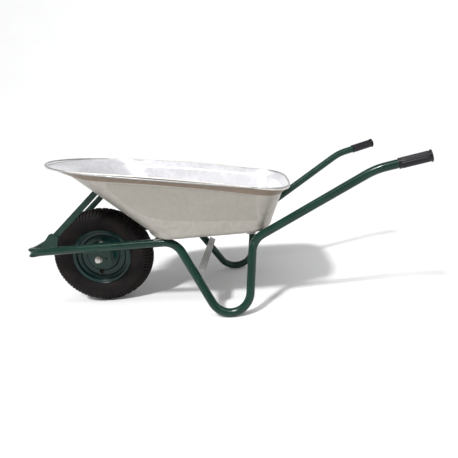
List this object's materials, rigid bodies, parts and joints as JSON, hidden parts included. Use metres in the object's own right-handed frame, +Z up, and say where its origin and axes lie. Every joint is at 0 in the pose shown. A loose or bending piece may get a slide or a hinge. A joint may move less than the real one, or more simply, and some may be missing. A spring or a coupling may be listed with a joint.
{
  "type": "wheelbarrow",
  "caption": "Builder's wheelbarrow with a deep pressed steel tray on a bent tube frame, a pneumatic wheel and ribbed handle grips.",
  "frame": {"origin": "on the floor, under the middle of the whole barrow's bounding box", "axes": "+X from the wheel towards the handles, +Y to the user's right, +Z up"},
  "size_m": [1.4986, 0.7268, 0.5983],
  "materials": {
    "frame_paint": "semi-gloss dark green paint",
    "wheel_paint": "semi-gloss dark green paint",
    "tray_zinc": "galvanised sheet",
    "rim_wire_steel": "drawn wire",
    "bare_angle": "galvanised angle bar",
    "strap_zinc": "galvanised flat bar",
    "fastener_zinc": "zinc plated",
    "bearing_steel": "ground bearing steel",
    "grip_rubber": "ribbed matt rubber",
    "tyre_rubber": "moulded matt rubber",
    "inner_tube_rubber": "smooth rubber",
    "valve_brass": "plain brass",
    "cap_plastic": "matt black"
  },
  "bodies": {
    "frame": {"nose_bar": "frame_paint", "frame_tube_left": "frame_paint", "frame_tube_right": "frame_paint", "stay_left": "frame_paint", "stay_right": "frame_paint", "stay_gusset_left": "frame_paint", "stay_gusset_right": "frame_paint", "axle_bracket_left": "frame_paint", "axle_bracket_right": "frame_paint", "tray": "tray_zinc", "tray_rolled_rim": "tray_zinc", "tray_rim_wire": "rim_wire_steel", "leg_brace": "bare_angle", "tray_strap_front": "strap_zinc", "tray_strap_rear": "strap_zinc", "axle": "fastener_zinc", "axle_nut": "fastener_zinc", "axle_washers": "fastener_zinc", "tray_bolts": "fastener_zinc", "tray_nuts": "fastener_zinc", "tray_washers": "fastener_zinc", "stay_bolts": "fastener_zinc", "stay_nuts": "fastener_zinc", "stay_washers": "fastener_zinc", "bearing_spacer": "fastener_zinc", "axle_sleeve_left": "fastener_zinc", "axle_sleeve_right": "fastener_zinc", "bearing_inner_ring_left": "bearing_steel", "bearing_inner_ring_right": "bearing_steel", "grip_left": "grip_rubber", "grip_right": "grip_rubber"},
    "wheel": {"tyre": "tyre_rubber", "inner_tube": "inner_tube_rubber", "rim": "wheel_paint", "hub_tube": "wheel_paint", "valve_stem": "valve_brass", "valve_cap": "cap_plastic", "wheel_disc_left": "wheel_paint", "wheel_disc_right": "wheel_paint", "bearing_outer_ring_left": "bearing_steel", "bearing_outer_ring_right": "bearing_steel", "bearing_balls_left": "bearing_steel", "bearing_balls_right": "bearing_steel"}
  },
  "joints": [
    {"name": "wheel_spin", "type": "hinge", "parent": "frame", "child": "wheel", "pos_m": [-0.4933, 0, 0.198], "axis": [0, 1, 0], "continuous": true}
  ]
}
